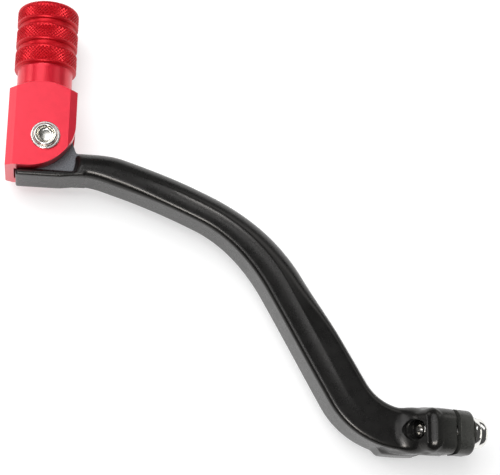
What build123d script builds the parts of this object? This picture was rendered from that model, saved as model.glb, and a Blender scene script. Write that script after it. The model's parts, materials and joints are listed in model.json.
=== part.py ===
from build123d import *
import os
from math import cos, hypot, pi, radians, sin

# Motorcycle gear shift lever with a sprung folding tip.
# Millimetres. The origin is the centre of the splined bore, on the shift shaft's axis.
# +Y runs along the shift shaft towards the tip, +X points away from the tip and +Z is the
# side on which the clamp is split.

# ---- Fold pivot ----
PIVOT_X = -127.7
PIVOT_Y = 88.9
PIVOT_Z = 4.0
FOLD_PLANE = Plane(origin=(PIVOT_X, PIVOT_Y, PIVOT_Z), x_dir=(1, 0, 0), z_dir=(0, 0, 1))

# ---- Forged arm: a chain of arcs in the XY plane, measured from the fold pivot ----
ARM_START_X = 12.34
ARM_START_Y = -7.09
TIP_BEND_RADIUS = 40.6
TIP_BEND_ANGLE = 16.9
LONG_BEND_RADIUS = 222.0
LONG_BEND_ANGLE = 7.7
UPPER_BEND_RADIUS = 58.2
UPPER_BEND_ANGLE = 35.5
STRAIGHT_LENGTH = 39.3
LOWER_BEND_RADIUS = 22.2
LOWER_BEND_ANGLE = TIP_BEND_ANGLE + LONG_BEND_ANGLE + UPPER_BEND_ANGLE
CLAMP_RUN = 9.0
# Width across the arm at the start of each stretch, and at the end of the last one.
ARM_WIDTHS = (9.0, 10.5, 10.7, 13.3, 13.9, 13.3, 12.8)
ARM_DEPTH_AT_TIP = 13.2
ARM_DEPTH_AT_CLAMP = 14.8
INNER_EDGE_RADIUS = 1.0
GROOVE_DEPTH = 1.3
CREASE_SHARE = 0.08
SHOULDER_X = 10.0
SHOULDER_Y = -7.9
SHOULDER_WIDTH = 6.2

# ---- Lug and ledge that carry the tip ----
LUG_RADIUS = 8.7
LUG_THICKNESS = 9.0
LEDGE_LEFT = -8.7
LEDGE_TOP = -10.3
LEDGE_BOTTOM = -12.3
LEDGE_DEPTH = 12.6

# ---- Splined clamp ----
BORE_RADIUS = 6.5
BARREL_RADIUS = 10.6
BARREL_LENGTH = 10.2
LAND_LENGTH = 12.6
PAD_LENGTH = 14.1
SPLINE_TEETH = 30
SPLINE_DEPTH = 0.55
BORE_CHAMFER = 0.8
PINCH_TILT = 15.0
PAD_LEFT = -7.5
PAD_RIGHT = 6.7
PAD_TOP = 16.0
PAD_BOTTOM = 7.4
PAD_CORNER_RADIUS = 4.2
LAND_LEFT = -11.0
LAND_TOP = 14.8
SLIT_WIDTH = 1.3

# ---- Pinch bolt, M6 x 18 with a domed head ----
BOLT_HEIGHT = 11.0
BOLT_RADIUS = 2.95
BOLT_LENGTH = 18.0
BOLT_FLANGE_RADIUS = 5.1
BOLT_FLANGE_HEIGHT = 1.65
BOLT_HEAD_RADIUS = 4.85
BOLT_HEAD_HEIGHT = 5.0
BOLT_HEAD_CORNER = 1.9
HEX_SOCKET = 4.0
HEX_SOCKET_DEPTH = 2.4
THREAD_HOLE_RADIUS = 3.0
CLEARANCE_HOLE_RADIUS = 3.3
EXIT_HOLE_RADIUS = 3.35
EXIT_HOLE_START = -10.9
EXIT_HOLE_END = -15.0
SPOTFACE_RADIUS = 5.0
SPOTFACE_LEAN = 22.0
SPOTFACE_CENTRE = -12.3

# ---- Folding tip ----
TIP_X = -1.3
CLEVIS_HALF_WIDTH = 10.75
CLEVIS_HALF_DEPTH = 9.0
CLEVIS_BOTTOM = -10.1
LONG_CHAMFER_X = 2.3
LONG_CHAMFER_Z = 1.5
TURNED_RADIUS = 13.2
SHOULDER_ANGLE = 57.0
SLOT_WIDTH = 9.2
SLOT_LEFT = -9.3
SLOT_TOP = 10.0
CHEEK_CORNER_RADIUS = 15.0
NECK_RADIUS = 8.85
NECK_START = 18.6
KNURL_START = 25.0
KNURL_RADIUS = 10.0
KNURL_CHAMFER = 0.5
GROOVE_POSITIONS = (32.1, 39.75)
GROOVE_RADIUS = 9.3
GROOVE_WIDTH = 1.1
PEG_TOP = 46.8
PEG_TOP_CHAMFER = 1.3

# ---- Rivet, sleeve, washers and spring ----
RIVET_RADIUS = 3.0
SLEEVE_INNER_RADIUS = 3.05
SLEEVE_OUTER_RADIUS = 4.0
LUG_BORE_RADIUS = 4.05
CHEEK_BORE_RADIUS = 3.05
WASHER_RADIUS = 4.6
WASHER_THICKNESS = 0.7
ROLLED_HEAD_RADIUS = 3.8
ROLLED_HEAD_HEIGHT = 1.1
ROLLED_RECESS_RADIUS = 2.9
ROLLED_RECESS_FLOOR = 1.8
ROLLED_RECESS_DEPTH = 1.5
FACTORY_HEAD_RADIUS = 4.3
FACTORY_HEAD_HEIGHT = 1.3
POCKET_RADIUS = 6.4
POCKET_DEPTH = 4.4
SPRING_RADIUS = 5.2
SPRING_WIRE = 1.1
SPRING_PITCH = 1.25
SPRING_TURNS = 2.25
SPRING_LEG = 2.6
SPRING_LEG_RADIUS = 0.5
ANCHOR_SLOT_WIDTH = 1.8

os.makedirs("parts", exist_ok=True)


def pinch(along, up):
    """A point of the clamp's leaning frame, as X and Z: along the bolt, and up the slit."""
    lean = radians(PINCH_TILT)
    return (along * cos(lean) + up * sin(lean), up * cos(lean) - along * sin(lean))


def bolt_plane(along, reverse=False):
    """The plane across the bolt's axis at a distance from the slit, facing the bolt's head."""
    x, z = pinch(along, BOLT_HEIGHT)
    step_x, step_z = pinch(1, 0)
    sign = -1 if reverse else 1
    return Plane(origin=(x, 0, z), x_dir=(0, 1, 0), z_dir=(sign * step_x, 0, sign * step_z))


def arm_point(stretches, distance):
    """The centreline's X, Y, heading and width at a distance along the arm."""
    x, y, heading = ARM_START_X, ARM_START_Y, 0.0
    for (length, turn), width, next_width in zip(stretches, ARM_WIDTHS, ARM_WIDTHS[1:]):
        share = min(distance, length) / length
        end = heading + turn * share
        if turn:
            radius = length / turn
            x += radius * (sin(end) - sin(heading))
            y -= radius * (cos(end) - cos(heading))
        else:
            x += length * share * cos(heading)
            y += length * share * sin(heading)
        heading = end
        if distance <= length:
            return x, y, heading, width + (next_width - width) * share
        distance -= length
    return x, y, heading, ARM_WIDTHS[-1]


def bend(radius, angle, side):
    """One arc of the centreline, as its length and its signed turn."""
    turn = radians(angle)
    return (radius * turn, side * turn)


def arm_section(width, depth, groove):
    """The forging's cross-section: a flat inner side, a cove on each face and a rounded outer side."""
    side = width / 2
    face = depth / 2
    radius = INNER_EDGE_RADIUS
    near = radius * (1 - cos(pi / 4))
    crease = width * CREASE_SHARE
    with BuildSketch() as outline:
        with BuildLine():
            Line((-side, radius - face), (-side, face - radius))
            for sign in (1, -1):
                ThreePointArc(
                    (-side, sign * (face - radius)),
                    (-side + near, sign * (face - near)),
                    (-side + radius, sign * face),
                )
                Bezier(
                    (-side + radius, sign * face),
                    (-side + radius + 0.16 * width, sign * (face - groove)),
                    (crease - 0.20 * width, sign * (face - groove)),
                    (crease, sign * face),
                )
                Bezier(
                    (crease, sign * face),
                    (crease + 0.24 * width, sign * face),
                    (side, sign * face * 0.72),
                    (side, sign * face * 0.15),
                )
            Line((side, -face * 0.15), (side, face * 0.15))
        make_face()
    return outline.sketch


STRETCHES = [
    bend(TIP_BEND_RADIUS, TIP_BEND_ANGLE, -1),
    bend(LONG_BEND_RADIUS, LONG_BEND_ANGLE, -1),
    bend(UPPER_BEND_RADIUS, UPPER_BEND_ANGLE, -1),
    (STRAIGHT_LENGTH, 0.0),
    bend(LOWER_BEND_RADIUS, LOWER_BEND_ANGLE, 1),
    (CLAMP_RUN, 0.0),
]
ARM_LENGTH = sum(length for length, turn in STRETCHES)
SECTIONS = 22

# ---- Lever arm: arm, lug, ledge and split clamp in one forging ----
with BuildPart() as pinch_pad:
    with BuildSketch(Plane.XZ):
        Polygon(
            pinch(PAD_LEFT, PAD_BOTTOM),
            pinch(PAD_RIGHT, PAD_BOTTOM),
            pinch(PAD_RIGHT, PAD_TOP),
            pinch(PAD_LEFT, PAD_TOP),
            align=None,
        )
    extrude(amount=PAD_LENGTH / 2, both=True)
    top_x, top_z = pinch((PAD_LEFT + PAD_RIGHT) / 2, PAD_TOP)
    top_edges = pinch_pad.edges().filter_by(
        lambda edge: abs((edge @ 0.5).Y) > PAD_LENGTH * 0.49
        and hypot((edge @ 0.5).X - top_x, (edge @ 0.5).Z - top_z) < 0.1
    )
    fillet(top_edges, PAD_CORNER_RADIUS)

with BuildPart() as lever_arm:
    # Arm
    shoulder = Plane(
        origin=(PIVOT_X + SHOULDER_X, PIVOT_Y + SHOULDER_Y, PIVOT_Z), x_dir=(0, 1, 0), z_dir=(1, 0, 0)
    )
    with BuildSketch(shoulder):
        add(arm_section(SHOULDER_WIDTH, LEDGE_DEPTH, 0.05))
    for index in range(SECTIONS):
        travel = index / (SECTIONS - 1)
        x, y, heading, width = arm_point(STRETCHES, travel * ARM_LENGTH)
        depth = ARM_DEPTH_AT_TIP + (ARM_DEPTH_AT_CLAMP - ARM_DEPTH_AT_TIP) * travel
        groove = 0.05 + GROOVE_DEPTH * max(0.0, sin(pi * min(1.0, travel * 1.25))) ** 0.7
        across = (-sin(heading), cos(heading), 0)
        section = Plane(
            origin=(PIVOT_X + x, PIVOT_Y + y, PIVOT_Z), x_dir=across, z_dir=(cos(heading), sin(heading), 0)
        )
        with BuildSketch(section):
            add(arm_section(width, depth, groove))
    loft()

    # Lug between the tip's cheeks
    with BuildSketch(FOLD_PLANE):
        Circle(LUG_RADIUS)
        Polygon(
            (-6.0, LEDGE_TOP - 0.5),
            (-6.0, -6.0),
            (0, 0),
            (LUG_RADIUS, 0),
            (11.2, -4.7),
            (14.0, -5.5),
            (14.0, -9.8),
            (9.0, LEDGE_TOP - 0.5),
            align=None,
        )
    extrude(amount=LUG_THICKNESS / 2, both=True)

    # Ledge under the clevis
    with BuildSketch(FOLD_PLANE):
        with BuildLine():
            Polyline(
                (SHOULDER_X + 1.5, -9.0),
                (SHOULDER_X - 0.6, -9.0),
                (SHOULDER_X - 1.4, LEDGE_TOP),
                (LEDGE_LEFT, LEDGE_TOP),
                (LEDGE_LEFT, LEDGE_BOTTOM),
                (1.0, LEDGE_BOTTOM),
            )
            Spline(
                (1.0, LEDGE_BOTTOM),
                (6.5, -11.65),
                (SHOULDER_X + 1.5, -10.85),
                tangents=((1, 0), (1, 0)),
            )
            Line((SHOULDER_X + 1.5, -10.85), (SHOULDER_X + 1.5, -9.0))
        make_face()
    extrude(amount=LEDGE_DEPTH / 2, both=True)

    # The land that the bolt's hole comes out of, and the web under the arm
    with BuildSketch(Plane.XZ):
        Polygon(
            pinch(LAND_LEFT, LAND_TOP),
            pinch(PAD_LEFT + 2.0, LAND_TOP),
            pinch(PAD_LEFT + 2.0, 2.0),
            (-14.5, 2.0),
            (-14.5, PIVOT_Z + ARM_DEPTH_AT_CLAMP / 2 - 1.6),
            (-13.2, PIVOT_Z + ARM_DEPTH_AT_CLAMP / 2 - 0.9),
            align=None,
        )
        with BuildLine():
            Line((-20.0, 0.5), (-8.0, 0.5))
            Line((-8.0, 0.5), (-8.3, -6.6))
            ThreePointArc((-8.3, -6.6), (-12.6, -3.3), (-20.0, PIVOT_Z - ARM_DEPTH_AT_CLAMP / 2))
            Line((-20.0, PIVOT_Z - ARM_DEPTH_AT_CLAMP / 2), (-20.0, 0.5))
        make_face()
    extrude(amount=LAND_LENGTH / 2, both=True)

    # Barrel and jaws
    with BuildSketch(Plane.XZ):
        Circle(BARREL_RADIUS)
    extrude(amount=BARREL_LENGTH / 2, both=True)
    add(pinch_pad.part)

    # Splined bore with a lead-in at each end
    with BuildSketch(Plane.XZ):
        Circle(BORE_RADIUS)
        for tooth in range(SPLINE_TEETH):
            angle = 2 * pi * (tooth + 0.5) / SPLINE_TEETH
            reach = BORE_RADIUS + SPLINE_DEPTH
            spread = 0.26 * 2 * pi / SPLINE_TEETH
            root = BORE_RADIUS - 0.1
            Polygon(
                (root * cos(angle - spread), root * sin(angle - spread)),
                (root * cos(angle + spread), root * sin(angle + spread)),
                (reach * cos(angle), reach * sin(angle)),
                align=None,
            )
    extrude(amount=PAD_LENGTH, both=True, mode=Mode.SUBTRACT)
    for side in (1, -1):
        end_face = Plane(origin=(0, side * BARREL_LENGTH / 2, 0), x_dir=(1, 0, 0), z_dir=(0, -side, 0))
        with BuildSketch(end_face):
            Circle(BORE_RADIUS + SPLINE_DEPTH + 0.25)
        with BuildSketch(end_face.offset(BORE_CHAMFER)):
            Circle(BORE_RADIUS - 0.2)
        loft(mode=Mode.SUBTRACT)

    # Slit
    with BuildSketch(Plane.XZ):
        Polygon(
            pinch(-SLIT_WIDTH / 2, 1.0),
            pinch(SLIT_WIDTH / 2, 1.0),
            pinch(SLIT_WIDTH / 2, PAD_TOP + 2),
            pinch(-SLIT_WIDTH / 2, PAD_TOP + 2),
            align=None,
        )
    extrude(amount=PAD_LENGTH, both=True, mode=Mode.SUBTRACT)

    # Bolt hole: thread in the left jaw, clearance in the right one, seat for the head
    with BuildSketch(bolt_plane(EXIT_HOLE_START)):
        Circle(THREAD_HOLE_RADIUS)
    extrude(amount=-EXIT_HOLE_START, mode=Mode.SUBTRACT)
    with BuildSketch(bolt_plane(0)):
        Circle(CLEARANCE_HOLE_RADIUS)
    extrude(amount=PAD_RIGHT + 1, mode=Mode.SUBTRACT)
    with BuildSketch(bolt_plane(PAD_RIGHT)):
        Circle(BOLT_FLANGE_RADIUS + 0.5)
    extrude(amount=12, mode=Mode.SUBTRACT)
    with BuildSketch(bolt_plane(EXIT_HOLE_START, reverse=True)):
        Circle(EXIT_HOLE_RADIUS)
    extrude(amount=EXIT_HOLE_START - EXIT_HOLE_END, mode=Mode.SUBTRACT)

    # Leaning spotface where the bolt hole comes out of the land
    face_x, face_z = pinch(SPOTFACE_CENTRE, BOLT_HEIGHT)
    lean = radians(SPOTFACE_LEAN + PINCH_TILT)
    with BuildSketch(
        Plane(origin=(face_x, 0, face_z), x_dir=(0, 1, 0), z_dir=(-cos(lean), 0, sin(lean)))
    ):
        Circle(SPOTFACE_RADIUS)
    extrude(amount=14, mode=Mode.SUBTRACT)

    # Pivot bore and spring pocket
    with BuildSketch(FOLD_PLANE.offset(-LUG_THICKNESS)):
        Circle(LUG_BORE_RADIUS)
    extrude(amount=2 * LUG_THICKNESS, mode=Mode.SUBTRACT)
    with BuildSketch(FOLD_PLANE.offset(-LUG_THICKNESS / 2)):
        Circle(POCKET_RADIUS)
        with Locations((0, (POCKET_RADIUS + LUG_RADIUS) / 2)):
            Rectangle(ANCHOR_SLOT_WIDTH, LUG_RADIUS)
    extrude(amount=POCKET_DEPTH, mode=Mode.SUBTRACT)
lever_arm.part.label = "lever_arm"
export_step(lever_arm.part, "parts/lever_arm.step")

# ---- Pinch bolt ----
with BuildPart() as pinch_bolt:
    with BuildSketch(bolt_plane(PAD_RIGHT, reverse=True)):
        Circle(BOLT_RADIUS)
    extrude(amount=BOLT_LENGTH)
    chamfer(pinch_bolt.faces().sort_by(Axis.X)[0].edges(), 0.5)
    with BuildSketch(bolt_plane(PAD_RIGHT)):
        Circle(BOLT_HEAD_RADIUS)
    extrude(amount=BOLT_HEAD_HEIGHT)
    head_end = pinch_bolt.faces().filter_by(GeomType.PLANE).sort_by(
        Axis(origin=(0, 0, 0), direction=bolt_plane(0).z_dir)
    )[-1]
    fillet(head_end.edges(), BOLT_HEAD_CORNER)
    with BuildSketch(bolt_plane(PAD_RIGHT)):
        Circle(BOLT_FLANGE_RADIUS)
    extrude(amount=BOLT_FLANGE_HEIGHT)
    with BuildSketch(bolt_plane(PAD_RIGHT + BOLT_HEAD_HEIGHT - HEX_SOCKET_DEPTH)):
        RegularPolygon(HEX_SOCKET / 2, 6, major_radius=False)
    extrude(amount=HEX_SOCKET_DEPTH + 1, mode=Mode.SUBTRACT)
pinch_bolt.part.label = "pinch_bolt"
export_step(pinch_bolt.part, "parts/pinch_bolt.step")

# ---- Folding tip: clevis and knurled peg from one bar ----
PEG_AXIS = Axis(origin=(PIVOT_X + TIP_X, PIVOT_Y, PIVOT_Z), direction=(0, 1, 0))
PEG_PLANE = Plane(
    origin=(PIVOT_X + TIP_X, PIVOT_Y, PIVOT_Z), x_dir=(1, 0, 0), z_dir=(0, 0, 1)
)
SHOULDER_DROP = (TURNED_RADIUS - NECK_RADIUS) / (sin(radians(SHOULDER_ANGLE)) / cos(radians(SHOULDER_ANGLE)))
with BuildPart() as folding_tip:
    # Turned blank of the clevis
    with BuildSketch(PEG_PLANE):
        Polygon(
            (0, CLEVIS_BOTTOM),
            (TURNED_RADIUS + 1, CLEVIS_BOTTOM),
            (TURNED_RADIUS + 1, 6.0),
            (TURNED_RADIUS, 6.0),
            (TURNED_RADIUS, NECK_START - SHOULDER_DROP),
            (NECK_RADIUS, NECK_START),
            (0, NECK_START),
            align=None,
        )
    revolve(axis=PEG_AXIS)
    # Milled flats and long chamfers
    with BuildSketch(
        Plane(
            origin=(PIVOT_X + TIP_X, PIVOT_Y + CLEVIS_BOTTOM, PIVOT_Z), x_dir=(1, 0, 0), z_dir=(0, 1, 0)
        )
    ):
        flat_x = CLEVIS_HALF_WIDTH - LONG_CHAMFER_X
        flat_z = CLEVIS_HALF_DEPTH - LONG_CHAMFER_Z
        Polygon(
            (flat_x, -CLEVIS_HALF_DEPTH),
            (CLEVIS_HALF_WIDTH, -flat_z),
            (CLEVIS_HALF_WIDTH, flat_z),
            (flat_x, CLEVIS_HALF_DEPTH),
            (-flat_x, CLEVIS_HALF_DEPTH),
            (-CLEVIS_HALF_WIDTH, flat_z),
            (-CLEVIS_HALF_WIDTH, -flat_z),
            (-flat_x, -CLEVIS_HALF_DEPTH),
            align=None,
        )
    extrude(amount=NECK_START - CLEVIS_BOTTOM, mode=Mode.INTERSECT)
    # Rounded corner of the cheeks, on the side that the tip folds to
    corner = folding_tip.edges().filter_by(Axis.Z).group_by(Axis.X)[-1].sort_by(Axis.Y)[0]
    fillet(corner, CHEEK_CORNER_RADIUS)
    # Neck and knurled peg
    with BuildSketch(PEG_PLANE):
        with BuildLine():
            points = [(0, NECK_START - 1), (NECK_RADIUS, NECK_START - 1), (NECK_RADIUS, KNURL_START)]
            points += [(KNURL_RADIUS - KNURL_CHAMFER, KNURL_START)]
            points += [(KNURL_RADIUS, KNURL_START + KNURL_CHAMFER)]
            for height in GROOVE_POSITIONS:
                points += [(KNURL_RADIUS, height - GROOVE_WIDTH / 2 - KNURL_CHAMFER)]
                points += [(GROOVE_RADIUS, height - GROOVE_WIDTH / 2)]
                points += [(GROOVE_RADIUS, height + GROOVE_WIDTH / 2)]
                points += [(KNURL_RADIUS, height + GROOVE_WIDTH / 2 + KNURL_CHAMFER)]
            points += [(KNURL_RADIUS, PEG_TOP - PEG_TOP_CHAMFER)]
            points += [(KNURL_RADIUS - PEG_TOP_CHAMFER, PEG_TOP), (0, PEG_TOP)]
            Polyline(*points, close=True)
        make_face()
    revolve(axis=PEG_AXIS)
    # Slot for the lug: open below and towards the arm, closed on the other side
    with BuildSketch(FOLD_PLANE):
        Polygon(
            (SLOT_LEFT, CLEVIS_BOTTOM - 1),
            (SLOT_LEFT, SLOT_TOP),
            (CLEVIS_HALF_WIDTH + 2, SLOT_TOP),
            (CLEVIS_HALF_WIDTH + 2, CLEVIS_BOTTOM - 1),
            align=None,
        )
    extrude(amount=SLOT_WIDTH / 2, both=True, mode=Mode.SUBTRACT)
    # Rivet holes, and the hole in the rear cheek for the spring's leg
    with BuildSketch(FOLD_PLANE.offset(-2 * CLEVIS_HALF_DEPTH)):
        Circle(CHEEK_BORE_RADIUS)
    extrude(amount=4 * CLEVIS_HALF_DEPTH, mode=Mode.SUBTRACT)
    with BuildSketch(FOLD_PLANE.offset(-SLOT_WIDTH / 2)):
        with Locations((SPRING_RADIUS, 0.3)):
            Circle(SPRING_LEG_RADIUS + 0.1)
    extrude(amount=-SPRING_LEG, mode=Mode.SUBTRACT)
folding_tip.part.label = "folding_tip"
export_step(folding_tip.part, "parts/folding_tip.step")

# ---- Sleeve that spaces the cheeks and carries the lug ----
with BuildPart() as pivot_sleeve:
    with BuildSketch(FOLD_PLANE.offset(-SLOT_WIDTH / 2)):
        Circle(SLEEVE_OUTER_RADIUS)
        Circle(SLEEVE_INNER_RADIUS, mode=Mode.SUBTRACT)
    extrude(amount=SLOT_WIDTH)
pivot_sleeve.part.label = "pivot_sleeve"
export_step(pivot_sleeve.part, "parts/pivot_sleeve.step")

# ---- Semi-tubular rivet ----
RIVET_PLANE = Plane(origin=(PIVOT_X, PIVOT_Y, PIVOT_Z), x_dir=(1, 0, 0), z_dir=(0, -1, 0))
RIVET_SEAT = CLEVIS_HALF_DEPTH + WASHER_THICKNESS
RIVET_TOP = RIVET_SEAT + ROLLED_HEAD_HEIGHT
with BuildPart() as pivot_rivet:
    with BuildSketch(RIVET_PLANE):
        Polygon(
            (0, RIVET_TOP - ROLLED_RECESS_DEPTH),
            (ROLLED_RECESS_FLOOR, RIVET_TOP - ROLLED_RECESS_DEPTH),
            (ROLLED_RECESS_RADIUS - 0.2, RIVET_TOP - 0.7),
            (ROLLED_RECESS_RADIUS, RIVET_TOP),
            (ROLLED_HEAD_RADIUS - 0.4, RIVET_TOP),
            (ROLLED_HEAD_RADIUS, RIVET_TOP - 0.4),
            (ROLLED_HEAD_RADIUS, RIVET_SEAT),
            (RIVET_RADIUS, RIVET_SEAT),
            (RIVET_RADIUS, -RIVET_SEAT),
            (FACTORY_HEAD_RADIUS, -RIVET_SEAT),
            (FACTORY_HEAD_RADIUS, -RIVET_SEAT - 0.4),
            (FACTORY_HEAD_RADIUS * 0.6, -RIVET_SEAT - FACTORY_HEAD_HEIGHT),
            (0, -RIVET_SEAT - FACTORY_HEAD_HEIGHT),
            align=None,
        )
    revolve(axis=Axis(origin=(PIVOT_X, PIVOT_Y, PIVOT_Z), direction=(0, 0, 1)))
pivot_rivet.part.label = "pivot_rivet"
export_step(pivot_rivet.part, "parts/pivot_rivet.step")

# ---- Rivet washers, one on each cheek ----
with BuildPart() as front_rivet_washer:
    with BuildSketch(FOLD_PLANE.offset(CLEVIS_HALF_DEPTH)):
        Circle(WASHER_RADIUS)
        Circle(RIVET_RADIUS + 0.05, mode=Mode.SUBTRACT)
    extrude(amount=WASHER_THICKNESS)
    chamfer(front_rivet_washer.edges().group_by(Axis.Z)[-1].sort_by(SortBy.RADIUS)[-1], 0.25)
front_rivet_washer.part.label = "front_rivet_washer"
export_step(front_rivet_washer.part, "parts/front_rivet_washer.step")

with BuildPart() as rear_rivet_washer:
    with BuildSketch(FOLD_PLANE.offset(-CLEVIS_HALF_DEPTH)):
        Circle(WASHER_RADIUS)
        Circle(RIVET_RADIUS + 0.05, mode=Mode.SUBTRACT)
    extrude(amount=-WASHER_THICKNESS)
    chamfer(rear_rivet_washer.edges().group_by(Axis.Z)[0].sort_by(SortBy.RADIUS)[-1], 0.25)
rear_rivet_washer.part.label = "rear_rivet_washer"
export_step(rear_rivet_washer.part, "parts/rear_rivet_washer.step")

# ---- Return spring, in the lug's pocket ----
SPRING_FLOOR = -LUG_THICKNESS / 2 + 0.25 + SPRING_WIRE / 2
SPRING_RISE = SPRING_PITCH * SPRING_TURNS
with BuildPart() as return_spring:
    with BuildLine(FOLD_PLANE.offset(SPRING_FLOOR)) as spring_path:
        Helix(pitch=SPRING_PITCH, height=SPRING_RISE, radius=SPRING_RADIUS)
    with BuildSketch(Plane(origin=spring_path.line @ 0, z_dir=spring_path.line % 0)):
        Circle(SPRING_WIRE / 2)
    sweep(path=spring_path.line, is_frenet=True)
    # Leg in the rear cheek of the tip
    with BuildSketch(FOLD_PLANE.offset(SPRING_FLOOR + 0.1)):
        with Locations((SPRING_RADIUS, 0.3)):
            Circle(SPRING_LEG_RADIUS)
    extrude(amount=-SPRING_LEG)
    # Leg in the lug's slot
    with BuildSketch(Plane(
        origin=(PIVOT_X + 0.3, PIVOT_Y + SPRING_RADIUS - 0.2, PIVOT_Z + SPRING_FLOOR + SPRING_RISE),
        x_dir=(1, 0, 0),
        z_dir=(0, 1, 0),
    )):
        Circle(SPRING_LEG_RADIUS)
    extrude(amount=SPRING_LEG)
return_spring.part.label = "return_spring"
export_step(return_spring.part, "parts/return_spring.step")
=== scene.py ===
import json
from math import cos, pi, radians, sin, sqrt, tan

import bmesh
import bpy
import numpy as np
from mathutils import Matrix, Vector


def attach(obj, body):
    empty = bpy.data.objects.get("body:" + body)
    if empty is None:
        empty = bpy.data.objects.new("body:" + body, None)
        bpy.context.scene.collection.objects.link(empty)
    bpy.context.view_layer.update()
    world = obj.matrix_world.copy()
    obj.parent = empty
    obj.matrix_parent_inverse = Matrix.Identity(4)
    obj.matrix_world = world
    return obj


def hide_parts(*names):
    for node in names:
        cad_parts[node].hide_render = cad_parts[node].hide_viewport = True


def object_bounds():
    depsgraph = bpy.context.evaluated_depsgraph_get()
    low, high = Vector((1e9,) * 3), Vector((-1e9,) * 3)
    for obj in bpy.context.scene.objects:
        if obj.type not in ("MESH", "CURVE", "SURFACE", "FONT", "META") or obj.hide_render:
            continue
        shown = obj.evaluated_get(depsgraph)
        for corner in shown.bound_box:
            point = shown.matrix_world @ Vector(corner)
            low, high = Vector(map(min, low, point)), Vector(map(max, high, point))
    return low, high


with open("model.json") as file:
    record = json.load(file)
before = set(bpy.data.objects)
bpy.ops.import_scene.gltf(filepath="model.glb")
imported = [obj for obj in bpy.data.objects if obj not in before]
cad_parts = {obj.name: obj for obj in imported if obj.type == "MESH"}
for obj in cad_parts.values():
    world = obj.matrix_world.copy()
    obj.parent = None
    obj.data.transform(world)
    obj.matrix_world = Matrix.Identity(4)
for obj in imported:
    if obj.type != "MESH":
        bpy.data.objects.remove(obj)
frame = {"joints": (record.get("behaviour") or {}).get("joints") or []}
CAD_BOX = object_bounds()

# Gear shift lever. The making is in millimetres and is scaled to metres when a mesh is written.
MM = 0.001

# ---------------------------------------------------------------------------
# Places taken from the frame
# ---------------------------------------------------------------------------
FOLD = next(joint for joint in frame["joints"] if joint["name"] == "tip_fold")
PIVOT = np.array(FOLD["pos_m"]) / MM
LOW, HIGH = (np.array(corner) / MM for corner in CAD_BOX)

# ---------------------------------------------------------------------------
# Sizes in millimetres, close to the frame's design
# ---------------------------------------------------------------------------
# The arm's centreline from the clevis: radius (0 is straight), then turn in degrees or length.
ARM_START = (12.34, -7.09)
ARM_STRETCHES = ((40.6, -16.9), (222.0, -7.7), (58.2, -35.5), (0.0, 39.3), (22.2, 60.1), (0.0, 9.0))
ARM_WIDTHS = (9.0, 10.5, 10.7, 13.3, 13.9, 13.3, 12.8)
ARM_DEPTHS = (13.2, 14.8)
# The cove: its slope away from the inner rim, how late it climbs to the crest, and the rim's depth.
COVE_SLOPE, COVE_POWER, COVE_DEPTH = 0.05, 2.6, 0.3
MESH_CELL = 0.42

# The lug and the ledge, measured from the pivot.
LUG_RADIUS = 8.7
LUG_HALF = 4.5
LEDGE_LEFT = -8.7
LEDGE_TOP = -10.3
LEDGE_BOTTOM = -12.3
LEDGE_HALF = 6.3
POCKET_RADIUS, POCKET_FLOOR = 6.4, -0.1

# The clamp, measured from the bore. The pads and the slit lean by PINCH_TILT.
BORE_RADIUS = 6.5
BARREL_RADIUS = 10.6
BARREL_HALF = 5.1
LAND_HALF = 6.3
SPLINE_TEETH = 30
SPLINE_DEPTH = 0.55
PINCH_TILT = radians(15.0)
PAD_LEFT, PAD_RIGHT, PAD_TOP = -8.3, 6.7, 16.0
PAD_BOTTOM = 7.4
PAD_HALF = 7.05
LAND_TOP = 14.8
SLIT_HALF = 0.78

# The pinch bolt and the hole that its end is seen in.
BOLT_HEIGHT = 11.0
BOLT_RADIUS = 2.95
BOLT_LENGTH = 18.0
THREAD_PITCH = 1.0
THREAD_DEPTH = 0.5
SPOTFACE_LEAN = radians(22.0)
SPOTFACE_RADIUS = 3.75
SPOTFACE_CENTRE = -12.3
EXIT_HOLE_RADIUS = 3.1
HEAD_SEAT = 0.15

# The folding tip, measured from the pivot.
TIP_X = -1.3
CLEVIS_HALF_WIDTH = 10.75
CLEVIS_HALF_DEPTH = 9.0
CLEVIS_BOTTOM = -10.1
LONG_CHAMFER = (2.3, 1.5)
TURNED_RADIUS = 13.2
SHOULDER_ANGLE = radians(57.0)
SLOT_HALF = 4.6
SLOT_LEFT, SLOT_TOP = -9.3, 10.0
FOLD_LIMIT = radians(55.0)
CHEEK_CORNER_RADIUS = 15.0
NECK_RADIUS = 8.85
NECK_START = 18.6
KNURL_START, PEG_TOP = 25.0, 46.8
KNURL_RADIUS = 10.0
GROOVES = (32.1, 39.75)
GROOVE_RADIUS = 9.25
KNURL_STARTS = 54
KNURL_DEPTH = 0.34

# What holds the tip and swings it back.
RIVET_RADIUS = 3.0
WASHER_RADIUS, WASHER_THICKNESS = 4.6, 0.7
SLEEVE_RADII = (3.05, 4.0)
SPRING_RADIUS, SPRING_WIRE = 5.2, 1.1
SPRING_PITCH, SPRING_TURNS = 1.25, 2.25

# The camera's place from the pivot, and how it is turned.
CAMERA_PLACE = (3.4, -139.3, 373.9)
CAMERA_YAW, CAMERA_PITCH, CAMERA_ROLL = radians(9.7), radians(16.49), radians(0.49)
CAMERA_LENS = 87.6


# ---------------------------------------------------------------------------
# Mesh helpers
# ---------------------------------------------------------------------------
def new_object(name, vertices, faces, smooth=True):
    """A mesh object from vertices in millimetres."""
    mesh = bpy.data.meshes.new(name)
    mesh.from_pydata((np.asarray(vertices, float) * MM).tolist(), [], [list(face) for face in faces])
    mesh.validate()
    mesh.update()
    if smooth:
        mesh.polygons.foreach_set("use_smooth", [True] * len(mesh.polygons))
    piece = bpy.data.objects.new(name, mesh)
    bpy.context.scene.collection.objects.link(piece)
    return piece


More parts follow.
